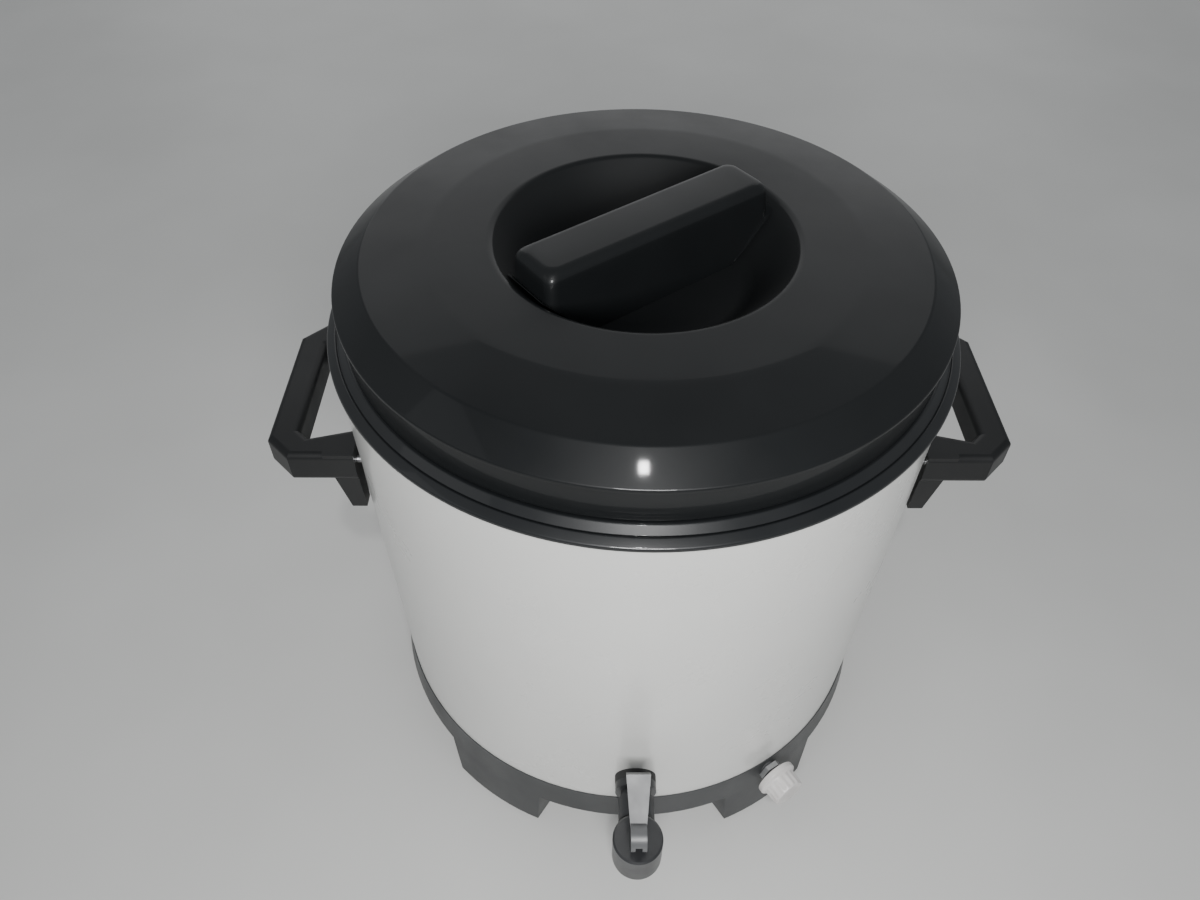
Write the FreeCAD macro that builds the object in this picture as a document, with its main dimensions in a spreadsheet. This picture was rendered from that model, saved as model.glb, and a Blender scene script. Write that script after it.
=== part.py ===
import FreeCAD, Part
import math
import os
import re
import Sketcher

# Electric cooking pot with a draw-off tap: a white shell round a fixed steel tank, black
# lid, collar, side handles and footed base. Millimetres, +Z up, floor at z = 0, tap at -Y.

Vector = FreeCAD.Vector
Rotation = FreeCAD.Rotation

doc = FreeCAD.newDocument("cooking_pot")
sheet = doc.addObject("Spreadsheet::Sheet", "Sizes")

sizes = {
    # white shell and steel tank
    "shell_foot_radius": 150.4,
    "shell_head_radius": 155.1,
    "shell_foot_height": 47.5,
    "shell_head_height": 293.0,
    "sheet_thickness": 1.2,
    "tank_radius": 142.2,
    "tank_floor_height": 58.0,
    "tank_rim_radius": 146.4,
    "tank_rim_height": 295.0,
    # collar
    "collar_radius": 157.3,
    "collar_lip_height": 290.9,
    "collar_top_height": 298.2,
    # lid
    "lid_radius": 150.0,
    "lid_skirt_radius": 147.4,
    "lid_skirt_height": 298.5,
    "lid_edge_height": 318.3,
    "lid_shoulder_radius": 136.0,
    "lid_shoulder_height": 330.0,
    "lid_wall": 3.0,
    "recess_radius": 74.0,
    "recess_rim_height": 335.0,
    "recess_floor_radius": 52.0,
    "recess_floor_height": 309.0,
    "dish_flange": 6.0,
    "grip_screw_reach": 28.0,
    "grip_length": 138.0,
    "grip_width": 36.0,
    "grip_top_length": 132.0,
    "grip_top_width": 29.0,
    "grip_top_height": 346.0,
    "grip_turn": 37.0,
    # base
    "base_radius": 153.0,
    "base_top_radius": 151.0,
    "base_under_height": 28.0,
    "base_wall": 5.2,
    "foot_radius": 156.0,
    "foot_bottom_height": 3.0,
    "foot_width": 60.0,
    "foot_flare": 9.0,
    "foot_depth": 13.0,
    "foot_azimuth": 33.0,
    "pad_circle": 149.2,
    "pad_radius": 5.5,
    "cover_radius": 140.4,
    "cover_screw_circle": 136.0,
    "cover_height": 26.4,
    "cover_sheet": 1.5,
    # side handles
    "handle_reach": 195.0,
    "handle_inner_reach": 179.0,
    "handle_root": 148.0,
    "handle_span": 108.0,
    "handle_arm": 14.0,
    "handle_arm_swell": 7.0,
    "handle_thickness": 19.0,
    "handle_height": 217.5,
    "handle_corner": 13.0,
    # tap
    "tap_height": 76.0,
    "tap_reach": 190.0,
    "tap_barrel_radius": 13.5,
    "tap_neck_radius": 10.0,
    "tap_bore_radius": 5.5,
    "tap_port_radius": 5.0,
    "tap_chamber_radius": 9.5,
    "tap_spout_height": 53.0,
    "tap_seat_height": 62.0,
    "tap_cap_height": 84.0,
    "tap_top_height": 88.0,
    "stem_radius": 1.5,
    "pivot_height": 93.5,
    "pivot_radius": 1.0,
    "cam_radius": 7.2,
    "lever_length": 31.0,
    "lever_tip_width": 13.0,
    "lever_root_width": 8.4,
    "lever_thickness": 5.0,
    "lever_lean": 37.0,
    # control knob
    "knob_radius": 12.5,
    "knob_length": 14.0,
    "knob_height": 39.0,
    "knob_azimuth": 33.0,
    "shaft_radius": 3.0,
    # heating
    "heater_radius": 100.0,
    "heater_thickness": 4.0,
    "element_ring_radius": 75.0,
    "element_radius": 4.0,
    "running_gap": 0.06,
}

for row, (alias, value) in enumerate(sizes.items(), start=1):
    sheet.set("A%d" % row, alias)
    sheet.set("B%d" % row, str(value))
    sheet.setAlias("B%d" % row, alias)
doc.recompute()

nodes = []


def full(text):
    """The expression with each size written as a cell of the sheet."""
    return re.sub(r"[a-z_]{3,}", lambda m: "Sizes." + m.group(0) if m.group(0) in sizes else m.group(0), text)


def num(value):
    if isinstance(value, str):
        return float(sheet.evalExpression(full(value)))
    return float(value)


def bind(thing, name, value):
    if isinstance(value, str):
        thing.setExpression(name, full(value))
    else:
        setattr(thing, name, value)


def node(thing, label):
    thing.Label = label
    nodes.append(thing)
    return thing


def plane(body, role):
    return [f for f in body.Origin.OriginFeatures if f.Role == role][0]


def draw(sketch, loops):
    """Closed outlines, each corner held from the origin by its two sizes."""
    for corners in loops:
        first = sketch.GeometryCount
        count = len(corners)
        points = [Vector(num(a), num(b), 0) for a, b in corners]
        for i in range(count):
            sketch.addGeometry(Part.LineSegment(points[i], points[(i + 1) % count]))
        for i in range(count):
            sketch.addConstraint(Sketcher.Constraint("Coincident", first + i, 2, first + (i + 1) % count, 1))
        for i, (across, up) in enumerate(corners):
            for kind, axis, value in (("DistanceX", -2, across), ("DistanceY", -1, up)):
                if num(value) == 0:
                    sketch.addConstraint(Sketcher.Constraint("PointOnObject", first + i, 1, axis))
                    continue
                at = sketch.addConstraint(Sketcher.Constraint(kind, -1, 1, first + i, 1, num(value)))
                if isinstance(value, str):
                    sketch.setExpression("Constraints[%d]" % at, full(value))


def new_sketch(body, role, loops):
    sketch = body.newObject("Sketcher::SketchObject", body.Name + "_outline")
    sketch.AttachmentSupport = (plane(body, role), [""])
    sketch.MapMode = "FlatFace"
    draw(sketch, loops)
    return sketch


def turned(name, corners, rounds=()):
    """A piece turned about its own Z axis from (radius, height) corners, some edges rounded."""
    body = doc.addObject("PartDesign::Body", name)
    sketch = new_sketch(body, "XZ_Plane", [corners])
    turn = body.newObject("PartDesign::Revolution", name + "_turn")
    turn.Profile = sketch
    turn.ReferenceAxis = (sketch, ["V_Axis"])
    turn.Angle = 360
    doc.recompute()
    tip = turn
    for radius, picks in rounds:
        places = [(num(r), num(z)) for r, z in picks]
        edges = []
        for k, edge in enumerate(tip.Shape.Edges):
            if not isinstance(edge.Curve, Part.Circle):
                continue
            for r, z in places:
                if abs(edge.Curve.Radius - r) < 0.02 and abs(edge.Curve.Center.z - z) < 0.02:
                    edges.append("Edge%d" % (k + 1))
        fillet = body.newObject("PartDesign::Fillet", name + "_round")
        fillet.Base = (tip, edges)
        bind(fillet, "Radius", radius)
        body.Tip = fillet
        doc.recompute()
        tip = fillet
    return body


def cylinder(name, radius, height):
    piece = doc.addObject("Part::Cylinder", name)
    bind(piece, "Radius", radius)
    bind(piece, "Height", height)
    return piece


def box(name, length, width, height):
    piece = doc.addObject("Part::Box", name)
    bind(piece, "Length", length)
    bind(piece, "Width", width)
    bind(piece, "Height", height)
    return piece


def fuse(name, pieces):
    joined = doc.addObject("Part::MultiFuse", name)
    joined.Shapes = pieces
    joined.Refine = True
    return joined


def cut(name, base, tools):
    result = doc.addObject("Part::Cut", name)
    result.Base = base
    result.Tool = tools[0] if len(tools) == 1 else fuse(name + "_tools", tools)
    result.Refine = True
    return result


def common(name, base, tool):
    result = doc.addObject("Part::Common", name)
    result.Base = base
    result.Tool = tool
    result.Refine = True
    return result


def group(name, pieces):
    bundle = doc.addObject("Part::Compound", name)
    bundle.Links = pieces
    return bundle


def at(piece, x, y, z, turn=None):
    piece.Placement = FreeCAD.Placement(Vector(num(x), num(y), num(z)), turn or Rotation())
    return piece


def outward(piece, azimuth, reach, height, side=0.0):
    """Points the piece's own Z outward at an azimuth counted from the front towards +X."""
    angle = math.radians(num(azimuth))
    out = Vector(math.sin(angle), -math.cos(angle), 0)
    across = Vector(math.cos(angle), math.sin(angle), 0)
    base = out * num(reach) + across * side + Vector(0, 0, num(height))
    turn = Rotation(Vector(0, 0, 1), num(azimuth)).multiply(Rotation(Vector(1, 0, 0), 90))
    piece.Placement = FreeCAD.Placement(base, turn)
    return piece


def spot(azimuth, reach):
    """The place at an azimuth counted from the front towards +X."""
    angle = math.radians(azimuth)
    return num(reach) * math.sin(angle), -num(reach) * math.cos(angle)


def around(count, first, reach):
    """Evenly spaced places on a circle."""
    return [spot(first + 360 * k / count, reach) for k in range(count)]


def screw(name, radius, length, head_radius, head_height):
    """Shank along the piece's own +Z, head below its origin."""
    return turned(name, [
        (0, length), (radius, length), (radius, head_height), (head_radius, head_height), (head_radius, 0), (0, 0)])


def tube(label, points, radius, bend):
    """Straight runs joined by tangent bends, swept with a round section."""
    points = [Vector(*p) for p in points]
    edges = []
    start = points[0]
    for i in range(1, len(points) - 1):
        before = (points[i - 1] - points[i]).normalize()
        after = (points[i + 1] - points[i]).normalize()
        half = before.getAngle(after) / 2
        setback = bend / math.tan(half)
        enter = points[i] + before * setback
        leave = points[i] + after * setback
        middle = points[i] + (before + after).normalize() * (bend / math.sin(half) - bend)
        edges.append(Part.LineSegment(start, enter).toShape())
        edges.append(Part.Arc(enter, middle, leave).toShape())
        start = leave
    edges.append(Part.LineSegment(start, points[-1]).toShape())
    path = Part.Wire(edges)
    ring = Part.Wire([Part.Circle(points[0], (points[1] - points[0]), radius).toShape()])
    piece = doc.addObject("Part::Feature", label)
    piece.Shape = path.makePipeShell([ring], True, False)
    return node(piece, label)


def shell_cone(name, offset, low, high):
    """The cone of the shell's outside, moved out by an offset, from one height to another."""
    slope = "(shell_head_radius - shell_foot_radius) / (shell_head_height - shell_foot_height)"
    cone = doc.addObject("Part::Cone", name)
    bind(cone, "Radius1", "shell_foot_radius + %s + (%s - shell_foot_height) * %s" % (offset, low, slope))
    bind(cone, "Radius2", "shell_foot_radius + %s + (%s - shell_foot_height) * %s" % (offset, high, slope))
    bind(cone, "Height", "%s - (%s)" % (high, low))
    return at(cone, 0, 0, low)


# base ring with four bracket feet, its shaft hole at the front right and cord hole at the back
ring = turned("ring", [
    ("base_radius", "base_under_height"),
    ("base_top_radius", "shell_foot_height"),
    ("base_top_radius - 3", "shell_foot_height"),
    ("base_top_radius - 3", "shell_foot_height + 5"),
    ("base_top_radius - base_wall", "shell_foot_height + 5"),
    ("base_top_radius - base_wall", "base_under_height + 4"),
    ("base_top_radius - 20", "base_under_height + 4"),
    ("base_top_radius - 20", "base_under_height")])
foot_band = turned("foot_band", [
    ("foot_radius", "foot_bottom_height"),
    ("base_radius", "base_under_height"),
    ("foot_radius - foot_depth", "base_under_height"),
    ("foot_radius - foot_depth", "foot_bottom_height")])
foot_azimuths = []
feet = []
for turn in (1, -1):
    for start in (0, 180):
        azimuth = num("foot_azimuth") * turn + start
        foot_azimuths.append(azimuth)
        wedge = doc.addObject("Part::Wedge", "foot_wedge")
        # the flare is on the foot's far side from the middle of the front or back
        near, far = ("0", "foot_flare") if turn > 0 else ("foot_flare", "0")
        bind(wedge, "Xmin", "-foot_width / 2")
        bind(wedge, "Xmax", "foot_width / 2")
        bind(wedge, "X2min", "-foot_width / 2 - %s" % near)
        bind(wedge, "X2max", "foot_width / 2 + %s" % far)
        bind(wedge, "Ymin", "foot_bottom_height - 1")
        bind(wedge, "Ymax", "base_under_height + 1")
        for low in ("Zmin", "Z2min"):
            bind(wedge, low, "foot_radius - foot_depth - 8")
        for high in ("Zmax", "Z2max"):
            bind(wedge, high, "foot_radius + 4")
        feet.append(outward(wedge, azimuth, 0, 0))
wedges = fuse("foot_wedges", feet)
foot_ring = common("foot_ring", foot_band, wedges)
notch = box("thermostat_notch", 36, 10, "40 - base_wall")
outward(notch, "knob_azimuth", "base_top_radius - 40", "base_under_height - 1", -18)
cord_notch = box("cord_notch", 24, 10, 14)
outward(cord_notch, 180, "base_top_radius - base_wall - 14", "base_under_height + 0.01", -12)
shaft_hole = outward(cylinder("shaft_hole", 5.0, 30), "knob_azimuth", 135, "knob_height")
cord_hole = outward(cylinder("cord_hole", 7.1, 30), 180, 135, "knob_height - 1")
cover_spots = around(4, 0, "cover_screw_circle")
plate_holes = []
for x, y in cover_spots:
    plate_holes.append(at(cylinder("cover_drill", 1.6, 8), x, y, "base_under_height - 2"))
footed = fuse("footed_ring", [ring, foot_ring])
node(cut("base_ring", footed, [notch, cord_notch, shaft_hole, cord_hole] + plate_holes), "base_ring")

pads = []
for azimuth in foot_azimuths:
    pad = cylinder("pad", "pad_radius", "foot_bottom_height")
    x, y = spot(azimuth, "pad_circle")
    pads.append(at(pad, x, y, 0))
node(group("foot_pads", pads), "foot_pads")

# steel cover under the base, its screws, and the tie stud that pulls the stack together
disc = cylinder("cover_disc", "cover_radius", "cover_sheet")
at(disc, 0, 0, "cover_height")
cover_holes = [at(cylinder("cover_stud_hole", 3.4, 6), 0, 0, "cover_height - 2")]
screws = []
for x, y in cover_spots:
    cover_holes.append(at(cylinder("cover_hole", 2.2, 6), x, y, "cover_height - 2"))
    one = screw("cover_screw", 1.58, 7.2, 3.6, 2.2)
    screws.append(at(one, x, y, "cover_height - 2.25"))
for x, y in around(12, 15, 60):
    cover_holes.append(at(cylinder("vent", 3.0, 6), x, y, "cover_height - 2"))
node(cut("bottom_cover", disc, cover_holes), "bottom_cover")
node(group("cover_screws", screws), "cover_screws")
stud = cylinder("tie_stud", 3.0, "tank_floor_height - cover_height + 7.4")
node(at(stud, 0, 0, "cover_height - 7.5"), "tie_stud")
nut_blank = doc.addObject("Part::Prism", "nut_blank")
nut_blank.Polygon = 6
nut_blank.Circumradius = 6.0
nut_blank.Height = 5.0
at(nut_blank, 0, 0, "cover_height - 5.1")
nut_bore = at(cylinder("nut_bore", 3.04, 9), 0, 0, "cover_height - 7")
node(cut("tie_nut", nut_blank, [nut_bore]), "tie_nut")

# white outer shell with the holes for the tap and the handle screws
shell_blank = turned("shell_blank", [
    ("shell_foot_radius", "shell_foot_height + 0.05"),
    ("shell_head_radius", "shell_head_height"),
    ("shell_head_radius - sheet_thickness", "shell_head_height"),
    ("shell_foot_radius - sheet_thickness", "shell_foot_height + 0.05")])
screw_side = "handle_span / 2 - handle_arm / 2"
screw_height = "handle_height + handle_thickness / 2"
shell_holes = [outward(cylinder("shell_tap_hole", 8.7, 30), 0, 135, "tap_height")]
for azimuth in (90, -90):
    for side in (1, -1):
        hole = cylinder("shell_screw_hole", 2.3, 40)
        shell_holes.append(outward(hole, azimuth, 130, screw_height, side * num(screw_side)))
node(cut("outer_shell", shell_blank, shell_holes), "outer_shell")

# steel tank: a seamed wall, its out-turned rim resting in the collar, and a welded floor
wall_blank = turned("wall_blank", [
    ("tank_radius", "tank_floor_height"),
    ("tank_radius", "tank_rim_height + 0.05"),
    ("tank_rim_radius", "tank_rim_height + 0.05"),
    ("tank_rim_radius", "tank_rim_height + sheet_thickness"),
    ("tank_radius - sheet_thickness", "tank_rim_height + sheet_thickness"),
    ("tank_radius - sheet_thickness", "tank_floor_height")])
tank_hole = outward(cylinder("tank_tap_hole", 8.7, 30), 0, 125, "tap_height")
node(cut("tank_wall", wall_blank, [tank_hole]), "tank_wall")
floor_disc = cylinder("tank_floor", "tank_radius - sheet_thickness - 0.03", "sheet_thickness")
node(at(floor_disc, 0, 0, "tank_floor_height"), "tank_floor")

# black collar over the shell's top edge
node(turned("collar_ring", [
    (143.2, "tank_rim_height - 8"),
    ("shell_head_radius - sheet_thickness - 0.4", "tank_rim_height - 8"),
    ("shell_head_radius - sheet_thickness - 0.4", "shell_head_height + 0.1"),
    ("shell_head_radius + 0.3", "shell_head_height + 0.1"),
    ("shell_head_radius + 0.3", "collar_lip_height"),
    ("collar_radius", "collar_lip_height"),
    ("collar_radius", "collar_lip_height + 1.6"),
    ("collar_radius - 4.4", "collar_lip_height + 4.6"),
    ("collar_radius - 5.2", "collar_lip_height + 4.2"),
    ("lid_skirt_radius + 0.8", "collar_top_height"),
    ("tank_rim_radius + 0.2", "collar_top_height"),
    ("tank_rim_radius + 0.2", "tank_rim_height"),
    (143.2, "tank_rim_height")]), "collar_ring")

# side handles: a level loop on two arms, each arm ending in a pad with a pointed toe
for label, turn in (("handle_right", 0), ("handle_left", 180)):
    loop = doc.addObject("PartDesign::Body", label + "_loop")
    outline = new_sketch(loop, "XY_Plane", [[
        ("handle_root", 0),
        ("handle_reach - handle_corner", 0),
        ("handle_reach", "handle_corner"),
        ("handle_reach", "handle_span - handle_corner"),
        ("handle_reach - handle_corner", "handle_span"),
        ("handle_root", "handle_span"),
        ("handle_root", "handle_span - handle_arm - handle_arm_swell"),
        ("handle_inner_reach - 5", "handle_span - handle_arm"),
        ("handle_inner_reach", "handle_span - handle_arm - 5"),
        ("handle_inner_reach", "handle_arm + 5"),
        ("handle_inner_reach - 5", "handle_arm"),
        ("handle_root", "handle_arm + handle_arm_swell")]])
    pad = loop.newObject("PartDesign::Pad", label + "_pad")
    pad.Profile = outline
    bind(pad, "Length", "handle_thickness")
    doc.recompute()
    edges = []
    for k, edge in enumerate(pad.Shape.Edges):
        ends = [v.Point for v in edge.Vertexes]
        flat = abs(ends[0].z - ends[1].z) < 0.01
        if flat and max(ends[0].x, ends[1].x) > num("handle_root") + 1:
            edges.append("Edge%d" % (k + 1))
    ease = loop.newObject("PartDesign::Fillet", label + "_ease")
    ease.Base = (pad, edges)
    ease.Radius = 3.5
    loop.Tip = ease
    at(loop, 0, "-handle_span / 2", "handle_height")
    pieces = [loop]
    for side in (1, -1):
        toe = doc.addObject("Part::Wedge", label + "_toe")
        # narrow at the bottom of the toe, as wide as the arm where it meets it
        bind(toe, "Xmin", "-handle_arm / 2 + 3")
        bind(toe, "Xmax", "handle_arm / 2 - 3")
        bind(toe, "X2min", "-handle_arm / 2")
        bind(toe, "X2max", "handle_arm / 2")
        toe.Ymin = -24
        bind(toe, "Ymax", "handle_thickness")
        toe.Zmin = 0
        toe.Zmax = 8
        toe.Z2min = 0
        toe.Z2max = 16
        pieces.append(outward(toe, 90, "handle_root", "handle_height", side * num(screw_side)))
    solid = fuse(label + "_solid", pieces)
    drills = [shell_cone(label + "_seat", 0.1, 150, 290)]
    for side in (1, -1):
        drill = cylinder(label + "_drill", 2.02, 24)
        drills.append(outward(drill, 90, 145, screw_height, side * num(screw_side)))
    handle = cut(label, solid, drills)
    at(handle, 0, 0, 0, Rotation(Vector(0, 0, 1), turn))
    node(handle, label)
screws = []
for azimuth in (90, -90):
    for side in (1, -1):
        one = screw("handle_screw", 2.0, 23.5, 3.8, 2.4)
        screws.append(outward(one, azimuth, 141.0, screw_height, side * num(screw_side)))
node(group("handle_screws", screws), "handle_screws")

# tap: barrel and neck in one casting, fixed through both walls by washers and a nut, and a
# spout below the barrel that carries the valve seat
barrel = turned("tap_barrel", [
    (0, "tap_seat_height + 0.05"),
    ("tap_barrel_radius - 1.5", "tap_seat_height + 0.05"),
    ("tap_barrel_radius", "tap_seat_height + 4"),
    ("tap_barrel_radius", "tap_cap_height"),
    (0, "tap_cap_height")])
at(barrel, 0, "-tap_reach", 0)
neck = cylinder("tap_neck", "tap_neck_radius", "tap_reach - tap_barrel_radius - 164.3")
outward(neck, 0, 164, "tap_height")
flange = outward(cylinder("tap_flange", 11.5, 4.5), 0, 155.4, "tap_height")
shank = cylinder("tap_shank", 8.4, "tap_reach - tap_barrel_radius - 129.3")
outward(shank, 0, 129, "tap_height")
core = cylinder("tap_core", "tap_neck_radius - 2.1", "tap_reach - 163")
outward(core, 0, 158, "tap_height")
casting = fuse("tap_casting", [barrel, neck, flange, shank, core])
tap_bores = [
    outward(cylinder("tap_bore", "tap_bore_radius", "tap_reach - 125"), 0, 125, "tap_height"),
    at(cylinder("tap_chamber", "tap_chamber_radius", 40), 0, "-tap_reach", "tap_seat_height - 5")]
node(cut("tap_body", casting, tap_bores), "tap_body")
spout = turned("tap_spout", [
    ("tap_port_radius", "tap_spout_height"),
    ("tap_port_radius + 2.4", "tap_spout_height"),
    ("tap_port_radius + 3", "tap_spout_height + 4"),
    ("tap_barrel_radius - 3", "tap_seat_height - 2"),
    ("tap_barrel_radius - 1.5", "tap_seat_height"),
    ("tap_port_radius", "tap_seat_height")])
node(at(spout, 0, "-tap_reach", 0), "tap_spout")
outer_blank = outward(cylinder("outer_blank", 11.5, 6.0), 0, 149.3, "tap_height")
outer_bore = outward(cylinder("outer_bore", 8.5, 12), 0, 146, "tap_height")
outer_seat = shell_cone("outer_seat", 0.05, 50, 110)
node(cut("tap_outer_washer", outer_blank, [outer_bore, outer_seat]), "tap_outer_washer")
inner_blank = outward(cylinder("inner_blank", 12.5, 4.0), 0, 138.0, "tap_height")
inner_room = at(cylinder("inner_room", "tank_radius - sheet_thickness - 0.05", 60), 0, 0, 50)
inner_bore = outward(cylinder("inner_bore", 8.5, 12), 0, 134, "tap_height")
inner_saddle = common("inner_saddle", inner_blank, inner_room)
node(cut("tap_inner_washer", inner_saddle, [inner_bore]), "tap_inner_washer")
lock_blank = doc.addObject("Part::Prism", "lock_blank")
lock_blank.Polygon = 6
lock_blank.Circumradius = 12.5
lock_blank.Height = 5.0
outward(lock_blank, 0, 132.9, "tap_height")
lock_bore = outward(cylinder("lock_bore", 8.46, 12), 0, 130, "tap_height")
node(cut("tap_lock_nut", lock_blank, [lock_bore]), "tap_lock_nut")
cap = turned("tap_bonnet", [
    ("stem_radius + running_gap", "tap_cap_height + 0.05"), ("tap_barrel_radius", "tap_cap_height + 0.05"),
    ("tap_barrel_radius", "tap_top_height - 1"), ("tap_barrel_radius - 1", "tap_top_height"),
    ("stem_radius + running_gap", "tap_top_height")])
node(at(cap, 0, "-tap_reach", 0), "tap_bonnet")

# moving stem with its seat cup, spring and the pin that the cam lever turns on
spindle = turned("tap_spindle", [
    (0, 67.1), (6.5, 67.1), (6.5, 69), ("stem_radius", 69), ("stem_radius", 92), (0, 92)])
at(spindle, 0, "-tap_reach", 0)
eye = at(box("stem_eye", 3.0, 5.0, 6.0), -1.5, "-tap_reach - 2.5", 90.5)
eye_hole = cylinder("stem_eye_hole", "pivot_radius + 0.01", 12)
at(eye_hole, -6, "-tap_reach", "pivot_height", Rotation(Vector(0, 1, 0), 90))
node(cut("tap_stem", fuse("stem_solid", [spindle, eye]), [eye_hole]), "tap_stem")
cup = turned("tap_seat_cup", [
    (0, "tap_seat_height + 0.05"), (8.0, "tap_seat_height + 0.05"), (8.0, 66.0), (6.4, 67.05), (0, 67.05)])
node(at(cup, 0, "-tap_reach", 0), "tap_seat_cup")
pin = cylinder("tap_pivot_pin", "pivot_radius", "lever_root_width")
at(pin, "-lever_root_width / 2", "-tap_reach", "pivot_height", Rotation(Vector(0, 1, 0), 90))
node(pin, "tap_pivot_pin")
coil = doc.addObject("Part::Feature", "tap_spring")
turns = Part.makeHelix(2.5, round(num("tap_cap_height") - 70.6, 3), 5.0)
wire_end = Part.Wire([Part.Circle(Vector(5.0, 0, 0), Vector(0, 1, 0), 0.55).toShape()])
coil.Shape = Part.Wire(turns.Edges).makePipeShell([wire_end], True, True)
node(at(coil, 0, "-tap_reach", 69.7, Rotation(Vector(0, 0, 1), 90)), "tap_spring")

# cam lever: two cheeks round the stem's eye, an off-centre hub and a tapered arm leaning back
cam = cylinder("lever_cam", "cam_radius", "lever_root_width")
at(cam, "-lever_root_width / 2", "-tap_reach - 2.383", "pivot_height + 2", Rotation(Vector(0, 1, 0), 90))
arm = doc.addObject("Part::Wedge", "lever_arm")
bind(arm, "Xmin", "-lever_root_width / 2")
bind(arm, "Xmax", "lever_root_width / 2")
bind(arm, "X2min", "-lever_tip_width / 2")
bind(arm, "X2max", "lever_tip_width / 2")
arm.Ymin = 3.0
bind(arm, "Ymax", "lever_length")
for low in ("Zmin", "Z2min"):
    bind(arm, low, "-lever_thickness / 2 + 1.5")
for high in ("Zmax", "Z2max"):
    bind(arm, high, "lever_thickness / 2 + 1.5")
at(arm, 0, "-tap_reach", "pivot_height", Rotation(Vector(1, 0, 0), num("lever_lean")))
slot = at(box("lever_slot", 3.6, 18.0, 13.8), -1.8, "-tap_reach - 13.8", "pivot_height - 9.5")
pin_hole = cylinder("lever_pin_hole", "pivot_radius + running_gap", 20)
at(pin_hole, -10, "-tap_reach", "pivot_height", Rotation(Vector(0, 1, 0), 90))
node(cut("tap_lever", fuse("lever_solid", [cam, arm]), [slot, pin_hole]), "tap_lever")

# thermostat behind the base ring, its shaft and knob at the front right
case = box("thermostat_case", 30, 21, 22)
outward(case, "knob_azimuth", 118, "knob_height - 10.5", -15)
bush = outward(cylinder("thermostat_bush", 4.8, 20), "knob_azimuth", 138, "knob_height")
shaft_bore = outward(cylinder("shaft_bore", "shaft_radius + running_gap", 40), "knob_azimuth", 126, "knob_height")
node(cut("thermostat_body", fuse("thermostat_solid", [case, bush]), [shaft_bore]), "thermostat_body")
ring_nut = doc.addObject("Part::Prism", "bush_nut_blank")
ring_nut.Polygon = 6
ring_nut.Circumradius = 7.5
ring_nut.Height = 3.0
outward(ring_nut, "knob_azimuth", 153.2, "knob_height")
nut_hole = outward(cylinder("bush_nut_hole", 4.84, 10), "knob_azimuth", 150, "knob_height")
node(cut("thermostat_nut", ring_nut, [nut_hole]), "thermostat_nut")
shaft = outward(cylinder("thermostat_shaft", "shaft_radius", 41.5), "knob_azimuth", 126.5, "knob_height")
node(shaft, "thermostat_shaft")
dial = turned("thermostat_dial", [
    ("shaft_radius + 0.02", 0), ("knob_radius", 0), ("knob_radius", 3.2), ("knob_radius - 1.6", 4.6),
    ("knob_radius - 2.4", "knob_length - 1.2"), ("knob_radius - 3.6", "knob_length"),
    (0, "knob_length"), (0, 10), ("shaft_radius + 0.02", 10)])
outward(dial, "knob_azimuth", 158.4, "knob_height")
node(dial, "thermostat_knob")

# heating under the tank floor
heater = at(cylinder("heater_disc", "heater_radius", "heater_thickness"), 0, 0,
            "tank_floor_height - heater_thickness - 0.05")
heater_hole = at(cylinder("heater_stud_hole", 3.4, 20), 0, 0, "tank_floor_height - 12")
node(cut("heater_plate", heater, [heater_hole]), "heater_plate")
element_height = "tank_floor_height - heater_thickness - element_radius - 0.1"
element_ring = doc.addObject("Part::Torus", "element_ring")
bind(element_ring, "Radius1", "element_ring_radius")
bind(element_ring, "Radius2", "element_radius")
element_ring.Angle3 = 300
at(element_ring, 0, 0, element_height, Rotation(Vector(0, 0, 1), 120))
element_ends = []
for angle in (120, 60):
    x = num("element_ring_radius") * math.cos(math.radians(angle))
    y = num("element_ring_radius") * math.sin(math.radians(angle))
    element_ends.append((x, y))
pins = [at(cylinder("element_pin", 3.0, 16), x, y, num(element_height) - 16) for x, y in element_ends]
node(fuse("heating_element", [element_ring] + pins), "heating_element")
shield_height = "cover_height + 12"
shield = at(cylinder("shield_disc", 112, 1.0), 0, 0, shield_height)
shield_holes = [at(cylinder("shield_stud_hole", 3.4, 6), 0, 0, "cover_height + 9")]
for x, y in element_ends:
    shield_holes.append(at(cylinder("shield_pin_hole", 6.0, 6), x, y, "cover_height + 9"))
node(cut("heat_shield", shield, shield_holes), "heat_shield")
sleeve = turned("shield_spacer", [
    (3.3, "cover_height + 13.05"), (6, "cover_height + 13.05"),
    (6, "tank_floor_height - heater_thickness - 0.15"), (3.3, "tank_floor_height - heater_thickness - 0.15")])
node(sleeve, "shield_spacer")
spacer_low = turned("cover_spacer", [
    (3.3, "cover_height + cover_sheet + 0.05"), (6, "cover_height + cover_sheet + 0.05"),
    (6, "cover_height + 11.95"), (3.3, "cover_height + 11.95")])
node(spacer_low, "cover_spacer")
button = turned("thermal_cutout", [
    (0, "tank_floor_height - heater_thickness - 0.15"), (8, "tank_floor_height - heater_thickness - 0.15"),
    (8, "tank_floor_height - heater_thickness - 3"), (6, "tank_floor_height - heater_thickness - 3"),
    (6, "tank_floor_height - heater_thickness - 10"), (0, "tank_floor_height - heater_thickness - 10")])
node(at(button, -40, 0, 0), "thermal_cutout")

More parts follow.
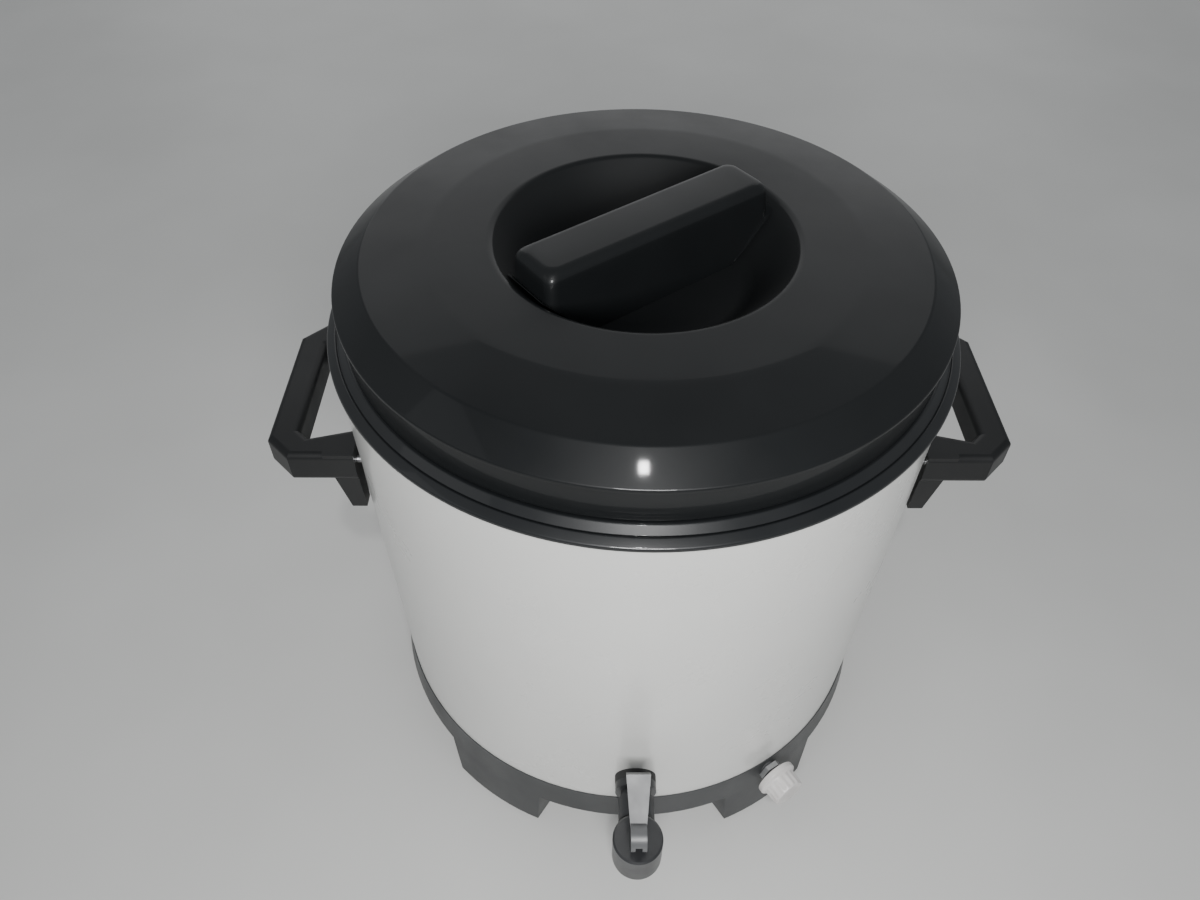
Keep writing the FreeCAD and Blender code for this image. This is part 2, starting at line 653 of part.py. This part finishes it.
# mains entry at the back and the wiring under the heat shield
gland = turned("cord_gland", [
    (4.2, 0), (7.0, 0), (7.0, 9.0), (9.0, 9.0), (9.0, 12.0), (7.0, 15.0), (4.2, 15.0)])
node(outward(gland, 180, 144.2, "knob_height - 1"), "cord_gland")
gland_nut = turned("gland_nut", [(7.04, 0), (9.6, 0), (9.6, 1.8), (7.04, 1.8)])
node(outward(gland_nut, 180, 143.5, "knob_height - 1"), "gland_nut")
block_height = num("cover_height + cover_sheet")
block = at(box("terminal_block", 30, 16, 9), -15, 100, block_height + 0.05)
node(block, "terminal_block")
wire_height = block_height + 4.5
wires = {
    "wire_supply_live": [(-8, 138, 37), (-8, 128, 37), (-8, 124, wire_height), (-8, 116.1, wire_height)],
    "wire_supply_neutral": [(8, 138, 37), (8, 128, 37), (8, 124, wire_height), (8, 116.1, wire_height)],
    "wire_heater": [(-12, 99.9, wire_height), (-12, 82, wire_height),
                    (element_ends[0][0], element_ends[0][1], wire_height)],
    "wire_element": [(element_ends[1][0], element_ends[1][1], wire_height), (80, 10, wire_height),
                     (72, -93, wire_height)],
    "wire_thermostat": [(12, 99.9, wire_height), (12, 40, wire_height), (52, -60, wire_height),
                        (62.7, -97, wire_height)],
}
for label, points in wires.items():
    tube(label, points, 1.2, 3.0)

# lid: a skirted ring and the finger dish let into it, with its bar grip, screws and seal
lip_radius = "(recess_radius + dish_flange)"
lip_fall = "(recess_rim_height - lid_shoulder_height) * dish_flange / (lid_shoulder_radius - recess_radius)"
lip_height = "(recess_rim_height - %s)" % lip_fall
node(turned("lid_shell", [
    ("lid_skirt_radius", "lid_skirt_height"),
    ("lid_skirt_radius", "lid_edge_height - 0.8"),
    ("lid_radius", "lid_edge_height"),
    ("lid_radius", "lid_edge_height + 0.9"),
    ("lid_shoulder_radius", "lid_shoulder_height"),
    (lip_radius, lip_height),
    (lip_radius, lip_height + " - lid_wall"),
    ("lid_shoulder_radius - 1", "lid_shoulder_height - lid_wall"),
    ("lid_skirt_radius - lid_wall", "lid_edge_height + 0.6"),
    ("lid_skirt_radius - lid_wall", "lid_skirt_height")],
    [(2.0, [("lid_shoulder_radius", "lid_shoulder_height")])]), "lid_shell")
dish_blank = turned("dish_blank", [
    (lip_radius + " - 0.02", lip_height),
    ("recess_radius", "recess_rim_height"),
    ("recess_floor_radius", "recess_floor_height"),
    (0, "recess_floor_height"),
    (0, "recess_floor_height - lid_wall"),
    ("recess_floor_radius + 1.5", "recess_floor_height - lid_wall"),
    ("recess_radius + 1.5", "recess_rim_height - lid_wall - 0.2"),
    (lip_radius + " - 0.02", lip_height + " - lid_wall")],
    [(4.0, [("recess_radius", "recess_rim_height")]),
     (8.0, [("recess_floor_radius", "recess_floor_height")])])
recess_room = turned("recess_room", [
    (0, "recess_floor_height + 0.1"),
    ("recess_floor_radius - 6.5", "recess_floor_height + 0.1"),
    ("recess_floor_radius + 1.2", "recess_floor_height + 5.5"),
    ("recess_radius - 6.2", "recess_rim_height - 5.5"),
    ("recess_radius + 10", "recess_rim_height + 14"),
    (0, "recess_rim_height + 14")])
bar = doc.addObject("Part::Wedge", "grip_bar")
for name, value in (("Xmin", "-grip_length / 2"), ("Xmax", "grip_length / 2"),
                    ("X2min", "-grip_top_length / 2"), ("X2max", "grip_top_length / 2"),
                    ("Zmin", "-grip_width / 2"), ("Zmax", "grip_width / 2"),
                    ("Z2min", "-grip_top_width / 2"), ("Z2max", "grip_top_width / 2"),
                    ("Ymin", "recess_floor_height"), ("Ymax", "grip_top_height")):
    bind(bar, name, value)
stand = Rotation(Vector(0, 0, 1), num("grip_turn")).multiply(Rotation(Vector(1, 0, 0), 90))
at(bar, 0, 0, 0, stand)
dish_holes = []
grip_holes = []
screws = []
for x, y in around(2, num("grip_turn") + 90, "grip_screw_reach"):
    dish_holes.append(at(cylinder("dish_hole", 2.2, 12), x, y, "recess_floor_height - 8"))
    grip_holes.append(at(cylinder("grip_hole", 2.02, 16), x, y, "recess_floor_height - 1"))
    one = screw("grip_screw", 2.0, 16.0, 4.0, 2.4)
    screws.append(at(one, x, y, "recess_floor_height - lid_wall - 2.45"))
node(cut("lid_dish", dish_blank, dish_holes), "lid_dish")
node(cut("lid_grip", common("grip_fitted", bar, recess_room), grip_holes), "lid_grip")
node(group("lid_grip_screws", screws), "lid_grip_screws")
seal = turned("lid_seal", [
    ("lid_skirt_radius - lid_wall - 2.6", "tank_rim_height + 1.6"),
    ("lid_skirt_radius - lid_wall - 0.1", "tank_rim_height + 1.6"),
    ("lid_skirt_radius - lid_wall - 0.1", "tank_rim_height + 6.5"),
    ("lid_skirt_radius - lid_wall - 2.6", "tank_rim_height + 6.5")])
node(seal, "lid_seal")

doc.recompute()
faults = [o.Label for o in doc.Objects if "Invalid" in o.State or "Error" in o.State]
for piece in nodes:
    if piece.Shape.isNull() or not piece.Shape.isValid() or not piece.Shape.Solids:
        faults.append(piece.Label)
if faults:
    raise SystemExit("not built: " + ", ".join(faults))

os.makedirs("parts", exist_ok=True)
for piece in nodes:
    piece.Shape.exportStep(os.path.join("parts", piece.Label + ".step"))
    print(piece.Label, len(piece.Shape.Solids), round(piece.Shape.Volume))
print(len(nodes), "nodes")
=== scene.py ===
import math

import bmesh
import bpy
from mathutils import Matrix, Vector


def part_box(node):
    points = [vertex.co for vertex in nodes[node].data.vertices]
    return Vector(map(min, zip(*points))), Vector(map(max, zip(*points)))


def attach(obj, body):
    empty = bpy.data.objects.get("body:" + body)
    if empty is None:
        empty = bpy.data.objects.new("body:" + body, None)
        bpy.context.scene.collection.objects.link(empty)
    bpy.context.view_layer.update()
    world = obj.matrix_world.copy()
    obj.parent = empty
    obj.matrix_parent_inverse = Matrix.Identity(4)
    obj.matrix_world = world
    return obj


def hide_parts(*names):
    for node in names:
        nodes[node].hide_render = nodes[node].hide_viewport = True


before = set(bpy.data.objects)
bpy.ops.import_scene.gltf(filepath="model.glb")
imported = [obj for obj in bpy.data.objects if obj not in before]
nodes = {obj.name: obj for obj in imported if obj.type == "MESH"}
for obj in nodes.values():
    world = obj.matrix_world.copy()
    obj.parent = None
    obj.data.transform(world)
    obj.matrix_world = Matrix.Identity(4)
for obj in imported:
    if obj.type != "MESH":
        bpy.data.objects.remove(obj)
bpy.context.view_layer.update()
mm = 0.001
print("frame loaded,", len(nodes), "nodes")


# materials

def newFinish(name):
    finish = bpy.data.materials.new(name)
    finish.use_nodes = True
    tree = finish.node_tree
    shader = tree.nodes["Principled BSDF"]
    place = tree.nodes.new("ShaderNodeTexCoord")
    return finish, tree, shader, place.outputs["Object"]


def noise(tree, place, scale, detail=3.0, rough=0.55, stretch=None):
    if stretch:
        mapping = tree.nodes.new("ShaderNodeMapping")
        mapping.inputs["Scale"].default_value = stretch
        tree.links.new(place, mapping.inputs["Vector"])
        place = mapping.outputs["Vector"]
    tex = tree.nodes.new("ShaderNodeTexNoise")
    tex.inputs["Scale"].default_value = scale
    tex.inputs["Detail"].default_value = detail
    tex.inputs["Roughness"].default_value = rough
    tree.links.new(place, tex.inputs["Vector"])
    return tex.outputs["Fac"]


def span(tree, value, low, high, fromLow=0.3, fromHigh=0.7):
    node = tree.nodes.new("ShaderNodeMapRange")
    node.inputs["From Min"].default_value = fromLow
    node.inputs["From Max"].default_value = fromHigh
    node.inputs["To Min"].default_value = low
    node.inputs["To Max"].default_value = high
    tree.links.new(value, node.inputs["Value"])
    return node.outputs["Result"]


def twoTones(tree, value, dark, light, low=0.35, high=0.65):
    ramp = tree.nodes.new("ShaderNodeValToRGB")
    ramp.color_ramp.elements[0].position = low
    ramp.color_ramp.elements[1].position = high
    ramp.color_ramp.elements[0].color = (*dark, 1)
    ramp.color_ramp.elements[1].color = (*light, 1)
    tree.links.new(value, ramp.inputs["Fac"])
    return ramp.outputs["Color"]


def bump(tree, value, shader, strength, depth):
    node = tree.nodes.new("ShaderNodeBump")
    node.inputs["Strength"].default_value = strength
    node.inputs["Distance"].default_value = depth
    tree.links.new(value, node.inputs["Height"])
    tree.links.new(node.outputs["Normal"], shader.inputs["Normal"])


def mouldedPlastic(spec):
    finish, tree, shader, place = newFinish(spec["name"])
    cloud = noise(tree, place, spec["cloud"])
    tree.links.new(twoTones(tree, cloud, spec["dark"], spec["light"]), shader.inputs["Base Color"])
    smear = noise(tree, place, spec["smear"], 5.0)
    tree.links.new(span(tree, smear, *spec["rough"]), shader.inputs["Roughness"])
    bump(tree, noise(tree, place, spec["grain"], 2.0), shader, spec["bump"], spec["depth"])
    shader.inputs["Specular IOR Level"].default_value = spec.get("sheen", 0.5)
    shader.inputs["Coat Weight"].default_value = spec["coat"]
    shader.inputs["Coat Roughness"].default_value = spec["coatRough"]
    return finish


def brushedMetal(spec):
    finish, tree, shader, place = newFinish(spec["name"])
    lines = noise(tree, place, spec["lines"], 4.0, 0.6, spec["stretch"])
    tree.links.new(twoTones(tree, lines, spec["dark"], spec["light"]), shader.inputs["Base Color"])
    tree.links.new(span(tree, lines, *spec["rough"]), shader.inputs["Roughness"])
    bump(tree, lines, shader, spec["bump"], spec["depth"])
    shader.inputs["Metallic"].default_value = 1.0
    return finish


lidBlack = mouldedPlastic({
    "name": "lidBlack", "dark": (0.006, 0.0068, 0.0074), "light": (0.009, 0.0100, 0.0106), "cloud": 9.0,
    "smear": 22.0, "rough": (0.34, 0.46), "grain": 900.0, "bump": 0.06, "depth": 0.0002, "sheen": 0.2,
    "coat": 0.25, "coatRough": 0.06})
dishBlack = mouldedPlastic({
    "name": "dishBlack", "dark": (0.006, 0.0068, 0.0074), "light": (0.009, 0.0100, 0.0106), "cloud": 9.0,
    "smear": 22.0, "rough": (0.55, 0.65), "grain": 900.0, "bump": 0.06, "depth": 0.0002, "sheen": 0.25,
    "coat": 0.0, "coatRough": 0.3})
collarBlack = mouldedPlastic({
    "name": "collarBlack", "dark": (0.008, 0.009, 0.010), "light": (0.012, 0.013, 0.014), "cloud": 12.0,
    "smear": 30.0, "rough": (0.30, 0.40), "grain": 700.0, "bump": 0.05, "depth": 0.0002, "sheen": 0.35,
    "coat": 0.4, "coatRough": 0.06})
handleBlack = mouldedPlastic({
    "name": "handleBlack", "dark": (0.006, 0.0065, 0.007), "light": (0.010, 0.0105, 0.011), "cloud": 20.0,
    "smear": 40.0, "rough": (0.36, 0.50), "grain": 1400.0, "bump": 0.12, "depth": 0.0003, "sheen": 0.3,
    "coat": 0.1, "coatRough": 0.3})
baseGrey = mouldedPlastic({
    "name": "baseGrey", "dark": (0.034, 0.036, 0.037), "light": (0.050, 0.052, 0.054), "cloud": 16.0,
    "smear": 35.0, "rough": (0.36, 0.52), "grain": 1500.0, "bump": 0.25, "depth": 0.0003,
    "coat": 0.05, "coatRough": 0.3})
tapBlack = mouldedPlastic({
    "name": "tapBlack", "dark": (0.018, 0.019, 0.021), "light": (0.030, 0.031, 0.033), "cloud": 40.0,
    "smear": 60.0, "rough": (0.28, 0.42), "grain": 1600.0, "bump": 0.12, "depth": 0.0002,
    "coat": 0.15, "coatRough": 0.2})
leverGrey = mouldedPlastic({
    "name": "leverGrey", "dark": (0.095, 0.097, 0.100), "light": (0.125, 0.128, 0.131), "cloud": 60.0,
    "smear": 90.0, "rough": (0.35, 0.5), "grain": 1800.0, "bump": 0.15, "depth": 0.0002,
    "coat": 0.1, "coatRough": 0.25})
knobPale = mouldedPlastic({
    "name": "knobPale", "dark": (0.60, 0.575, 0.56), "light": (0.70, 0.68, 0.665), "cloud": 70.0,
    "smear": 80.0, "rough": (0.32, 0.45), "grain": 1500.0, "bump": 0.1, "depth": 0.0002,
    "coat": 0.1, "coatRough": 0.2})
shellWhite = mouldedPlastic({
    "name": "shellWhite", "dark": (0.64, 0.64, 0.62), "light": (0.70, 0.70, 0.68), "cloud": 5.0,
    "smear": 14.0, "rough": (0.24, 0.34), "grain": 260.0, "bump": 0.05, "depth": 0.0003,
    "coat": 0.4, "coatRough": 0.12})
padRubber = mouldedPlastic({
    "name": "padRubber", "dark": (0.02, 0.02, 0.02), "light": (0.04, 0.04, 0.04), "cloud": 80.0,
    "smear": 70.0, "rough": (0.7, 0.9), "grain": 1200.0, "bump": 0.3, "depth": 0.0004,
    "coat": 0.0, "coatRough": 0.5})
wireCover = mouldedPlastic({
    "name": "wireCover", "dark": (0.30, 0.13, 0.06), "light": (0.42, 0.20, 0.09), "cloud": 120.0,
    "smear": 90.0, "rough": (0.45, 0.6), "grain": 1500.0, "bump": 0.1, "depth": 0.0002,
    "coat": 0.0, "coatRough": 0.5})
tankSteel = brushedMetal({
    "name": "tankSteel", "dark": (0.56, 0.56, 0.57), "light": (0.64, 0.64, 0.65), "lines": 14.0,
    "stretch": (1.0, 1.0, 60.0), "rough": (0.30, 0.38), "bump": 0.01, "depth": 0.0002})
castAluminium = brushedMetal({
    "name": "castAluminium", "dark": (0.55, 0.55, 0.56), "light": (0.70, 0.70, 0.71), "lines": 200.0,
    "stretch": (1.0, 1.0, 1.0), "rough": (0.4, 0.55), "bump": 0.15, "depth": 0.0003})

nodeFinish = {
    "outer_shell": shellWhite, "collar_ring": collarBlack, "lid_shell": lidBlack, "lid_dish": dishBlack,
    "lid_grip": lidBlack, "tap_spout": tapBlack,
    "handle_left": handleBlack, "handle_right": handleBlack, "base_ring": baseGrey, "cord_gland": baseGrey,
    "gland_nut": baseGrey, "tap_body": tapBlack, "tap_bonnet": tapBlack, "tap_outer_washer": padRubber,
    "tap_inner_washer": padRubber, "tap_seat_cup": padRubber, "lid_seal": padRubber, "foot_pads": padRubber,
    "tap_lever": leverGrey, "terminal_block": leverGrey, "thermostat_body": leverGrey,
    "thermal_cutout": leverGrey, "thermostat_knob": knobPale, "heater_plate": castAluminium,
}
for name, piece in nodes.items():
    finish = wireCover if name.startswith("wire_") else nodeFinish.get(name, tankSteel)
    for place in piece.material_slots:
        place.material = finish
print("finishes set")


# softened edges on the moulded pieces that keep their own shape
easedEdges = {
    "base_ring": 1.0, "handle_left": 1.2, "handle_right": 1.2, "tap_lever": 0.9,
    "tap_body": 0.5, "tap_spout": 0.4, "tap_bonnet": 0.4, "cord_gland": 0.4}
for name, width in easedEdges.items():
    ease = nodes[name].modifiers.new("easedEdge", "BEVEL")
    ease.width = width * mm
    ease.segments = 4
    ease.limit_method = "ANGLE"
    ease.angle_limit = math.radians(28)
    ease.harden_normals = True
print("edges eased")


# meshes

def roundCorners(corners, steps=8):
    points = []
    count = len(corners)
    for i, (r, z, radius) in enumerate(corners):
        here = Vector((r, z))
        if radius == 0:
            points.append(here)
            continue
        before = (Vector(corners[i - 1][:2]) - here).normalized()
        after = (Vector(corners[(i + 1) % count][:2]) - here).normalized()
        half = before.angle(after) / 2
        centre = here + (before + after).normalized() * radius / math.sin(half)
        start = (here + before * radius / math.tan(half) - centre).normalized()
        end = (here + after * radius / math.tan(half) - centre).normalized()
        for k in range(steps + 1):
            points.append(centre + start.slerp(end, k / steps) * radius)
    return points


def finishMesh(name, work, finish, sharpAngle):
    bmesh.ops.remove_doubles(work, verts=work.verts, dist=1e-6)
    bmesh.ops.dissolve_degenerate(work, edges=work.edges, dist=1e-7)
    bmesh.ops.recalc_face_normals(work, faces=work.faces)
    for face in work.faces:
        face.smooth = True
    mesh = bpy.data.meshes.new(name)
    work.to_mesh(mesh)
    work.free()
    mesh.set_sharp_from_angle(angle=math.radians(sharpAngle))
    mesh.materials.append(finish)
    piece = bpy.data.objects.new(name, mesh)
    bpy.context.scene.collection.objects.link(piece)
    return piece


def turnProfile(name, corners, finish, segments=192, flute=None):
    work = bmesh.new()
    profile = roundCorners(corners)
    rings = []
    for k in range(segments):
        angle = 2 * math.pi * k / segments
        ring = []
        for r, z in profile:
            reach = r * (flute(angle, r, z) if flute else 1.0)
            ring.append(work.verts.new((reach * math.cos(angle), reach * math.sin(angle), z)))
        rings.append(ring)
    count = len(profile)
    for k in range(segments):
        a = rings[k]
        b = rings[(k + 1) % segments]
        for i in range(count):
            j = (i + 1) % count
            work.faces.new((a[i], b[i], b[j], a[j]))
    return finishMesh(name, work, finish, 35)


# lid
lid = {"wall": 3.0, "skirt": 147.4, "edge": 318.3, "shoulderR": 136.0, "shoulderZ": 330.0, "dome": 2.2,
       "rimR": 74.0, "rimZ": 335.0, "floorR": 52.0, "floorZ": 309.0}
lidLow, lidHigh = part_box("lid_shell")
lidR = lidHigh.x / mm
lidFoot = lidLow.z / mm
domeR = (lid["shoulderR"] + lid["rimR"]) / 2
domeZ = (lid["shoulderZ"] + lid["rimZ"]) / 2 + lid["dome"] / 2
wall = lid["wall"]
lidCorners = [
    (lid["skirt"], lidFoot, 0.8), (lid["skirt"], lid["edge"] - 1.2, 0.8), (lidR, lid["edge"] - 0.4, 0.4),
    (lidR, lid["edge"] + 1.4, 1.6), (lid["shoulderR"], lid["shoulderZ"], 3.5), (domeR, domeZ, 60.0),
    (lid["rimR"], lid["rimZ"], 4.5), (lid["floorR"], lid["floorZ"], 9.0), (0.0, lid["floorZ"], 0),
    (0.0, lid["floorZ"] - wall, 0), (lid["floorR"] + 1.5, lid["floorZ"] - wall, 4.0),
    (lid["rimR"] + 1.5, lid["rimZ"] - wall, 3.0), (lid["shoulderR"] - 1, lid["shoulderZ"] - wall, 3.0),
    (lid["skirt"] - wall, lid["edge"] + 0.6, 1.5), (lid["skirt"] - wall, lidFoot, 0.8)]
lidCover = turnProfile("lidCover", [(r * mm, z * mm, c * mm) for r, z, c in lidCorners], lidBlack)
lidCover.data.materials.append(dishBlack)  # duller inside the dish
for face in lidCover.data.polygons:
    if face.center.xy.length < (lid["rimR"] - 1.0) * mm:
        face.material_index = 1
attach(lidCover, "lid")
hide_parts("lid_shell", "lid_dish")
print("lid turned")

# bar grip with rounded edges, its underside following the dish
grip = {"turn": 37.0, "halfLength": 69.0, "topHalfLength": 66.0, "halfWidth": 18.0, "topHalfWidth": 14.5,
        "edge": 5.0, "steps": 72, "turns": 6, "sideLayers": 16,
        "dish": [(0.0, 309.1), (45.5, 309.1), (53.2, 314.5), (67.8, 329.5), (84.0, 349.0)]}
gripLow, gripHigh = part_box("lid_grip")
gripFoot = gripLow.z / mm
gripTop = gripHigh.z / mm


def dishHeight(r):
    for (nearR, nearZ), (farR, farZ) in zip(grip["dish"], grip["dish"][1:]):
        if r <= farR:
            return nearZ + (farZ - nearZ) * (r - nearR) / (farR - nearR)
    return farZ


def gripOutline(z, inset):
    lift = (z - gripFoot) / (gripTop - gripFoot)
    halfL = grip["halfLength"] + (grip["topHalfLength"] - grip["halfLength"]) * lift - inset
    halfW = grip["halfWidth"] + (grip["topHalfWidth"] - grip["halfWidth"]) * lift - inset
    bend = grip["edge"]
    quarter = [math.radians(90 * k / grip["turns"]) for k in range(grip["turns"] + 1)]
    along = [(-1 + 2 * k / grip["steps"]) * (halfL - bend) for k in range(1, grip["steps"])]
    rim = [(halfL - bend + bend * math.cos(a), halfW - bend + bend * math.sin(a)) for a in quarter]
    rim += [(-s, halfW) for s in along]
    rim += [(-x, y) for x, y in reversed(rim[:len(quarter)])]
    return rim + [(-x, -y) for x, y in rim]


def gripLayers():
    edge = grip["edge"]
    side = gripTop - edge - gripFoot
    layers = [(gripFoot + side * k / grip["sideLayers"], 0.0) for k in range(grip["sideLayers"] + 1)]
    for k in range(1, grip["turns"] + 1):
        a = math.radians(90 * k / grip["turns"])
        layers.append((gripTop - edge * (1 - math.sin(a)), edge * (1 - math.cos(a)) * 0.98))
    return layers


def shapeGrip(name, finish):
    work = bmesh.new()
    turn = Matrix.Rotation(math.radians(grip["turn"]), 3, "Z")
    loops = []
    for z, inset in gripLayers():
        loop = []
        for x, y in gripOutline(z, inset):
            height = max(z, dishHeight(math.hypot(x, y)))
            loop.append(work.verts.new(turn @ Vector((x, y, height)) * mm))
        loops.append(loop)
    count = len(loops[0])
    for low, high in zip(loops, loops[1:]):
        for i in range(count):
            j = (i + 1) % count
            work.faces.new((low[i], low[j], high[j], high[i]))
    for loop in (loops[0], loops[-1]):  # strips across the width close top and underside
        for i in range(count // 2 - 1):
            work.faces.new((loop[i], loop[i + 1], loop[count - 2 - i], loop[count - 1 - i]))
    return finishMesh(name, work, finish, 40)


gripBar = shapeGrip("gripBar", lidBlack)
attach(gripBar, "lid")
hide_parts("lid_grip")
print("grip shaped")

# collar with its two rolled beads
collar = {"bead": 1.5, "step": 4.4}
collarLow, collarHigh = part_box("collar_ring")
shellLow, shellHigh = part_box("outer_shell")
collarR = collarHigh.x / mm
collarTop = collarHigh.z / mm
collarFoot = collarLow.z / mm
shellR = shellHigh.x / mm
shellTop = shellHigh.z / mm
lip = collarTop - 7.3
innerR = 143.2
collarCorners = [
    (innerR, collarFoot, 0.4), (shellR - 1.6, collarFoot, 0.4), (shellR - 1.6, shellTop + 0.1, 0.3),
    (shellR + 0.3, shellTop + 0.1, 0.2), (shellR + 0.3, lip, 0.3), (collarR, lip, 0.6),
    (collarR, lip + 2.1, collar["bead"]), (collarR - collar["step"], lip + 4.7, 1.2),
    (collarR - collar["step"] - 0.9, lip + 4.0, 0.4), (148.6, collarTop, collar["bead"]),
    (146.6, collarTop, 0.3), (146.6, collarTop - 3.2, 0.2), (innerR, collarTop - 3.2, 0.3)]
collarBand = turnProfile("collarBand", [(r * mm, z * mm, c * mm) for r, z, c in collarCorners], collarBlack)
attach(collarBand, "pot")
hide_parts("collar_ring")
print("collar turned")

# fluted heat knob with its skirt
knob = {"flutes": 16, "depth": 0.05, "length": 14.0, "radius": 12.5, "bore": 3.02, "azimuth": 33.0,
        "reach": 158.4, "height": 39.0}


def knobFlute(angle, r, z):
    gripped = 5.0 * mm < z < 13.0 * mm and r > 8 * mm
    return 1.0 - knob["depth"] * (0.5 + 0.5 * math.cos(knob["flutes"] * angle)) if gripped else 1.0


knobR = knob["radius"]
knobL = knob["length"]
knobCorners = [
    (knob["bore"], 0, 0), (knobR, 0, 0.6), (knobR, 3.2, 0.8), (knobR - 1.9, 4.6, 0.6), (knobR - 2.1, 6.0, 0),
    (knobR - 2.4, knobL - 1.6, 0), (knobR - 3.2, knobL, 0.8), (0, knobL, 0), (0, 10, 0), (knob["bore"], 10, 0)]
knobCap = turnProfile("knobCap", [(r * mm, z * mm, c * mm) for r, z, c in knobCorners], knobPale, 192, knobFlute)
knobTurn = math.radians(knob["azimuth"])
outward = Vector((math.sin(knobTurn), -math.cos(knobTurn), 0))
knobPlace = Matrix.Rotation(knobTurn, 4, "Z") @ Matrix.Rotation(math.radians(90), 4, "X")
knobPlace.translation = outward * knob["reach"] * mm + Vector((0, 0, knob["height"] * mm))
knobCap.data.transform(knobPlace)
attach(knobCap, "knob")
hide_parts("thermostat_knob")
print("knob turned")


# floor, lights and camera
floor = {"size": 6.0, "dark": (0.60, 0.60, 0.585), "light": (0.66, 0.66, 0.645)}
bpy.ops.mesh.primitive_plane_add(size=floor["size"])
ground = bpy.context.object
ground.name = "paleFloor"
paleFloor, tree, shader, place = newFinish("paleFloor")
tree.links.new(twoTones(tree, noise(tree, place, 3.0), floor["dark"], floor["light"]), shader.inputs["Base Color"])
shader.inputs["Roughness"].default_value = 0.5
ground.data.materials.append(paleFloor)


def softLamp(name, spot, aim, size, power):
    lamp = bpy.data.lights.new(name, "AREA")
    lamp.size = size
    lamp.energy = power
    holder = bpy.data.objects.new(name, lamp)
    holder.location = spot
    holder.rotation_euler = (Vector(aim) - Vector(spot)).to_track_quat("-Z", "Y").to_euler()
    bpy.context.scene.collection.objects.link(holder)


camera = {"spot": (-0.0234, -0.3837, 0.5868), "pitch": 46.3, "heading": -0.4, "roll": 0.56, "focal": 938.0,
          "imageWidth": 1200.0, "sensor": 36.0}
lamps = {
    "backSoft": ((0.0, 2.0, 0.75), (0, 0.9, 0.0), 2.6, 12.0),
    "frontSoft": ((0.0, -0.64, 0.60), (0, 0, 0.18), 0.2, 5.0),
    "smallGlint": ((0.01, -0.9, 1.6), (0, 0, 0.3), 0.06, 5.0),
    "sideSoft": ((-1.3, -0.5, 1.1), (0, 0, 0.25), 0.8, 0.8)}
for name, (spot, aim, size, power) in lamps.items():
    softLamp(name, spot, aim, size, power)
world = bpy.data.worlds.new("studio")
bpy.context.scene.world = world
world.use_nodes = True
world.node_tree.nodes["Background"].inputs["Color"].default_value = (0.92, 0.96, 1.0, 1)
world.node_tree.nodes["Background"].inputs["Strength"].default_value = 0.28
lens = bpy.data.cameras.new("photoCamera")
lens.sensor_width = camera["sensor"]
lens.lens = camera["focal"] / camera["imageWidth"] * camera["sensor"]
lens.clip_start = 0.01
viewer = bpy.data.objects.new("photoCamera", lens)
turn = Matrix.Rotation(math.radians(camera["heading"]), 4, "Z")
turn = turn @ Matrix.Rotation(math.radians(90 - camera["pitch"]), 4, "X")
turn = turn @ Matrix.Rotation(math.radians(camera["roll"]), 4, "Z")
viewer.matrix_world = Matrix.Translation(camera["spot"]) @ turn
bpy.context.scene.collection.objects.link(viewer)
bpy.context.scene.camera = viewer
print("studio set")

bpy.context.view_layer.update()
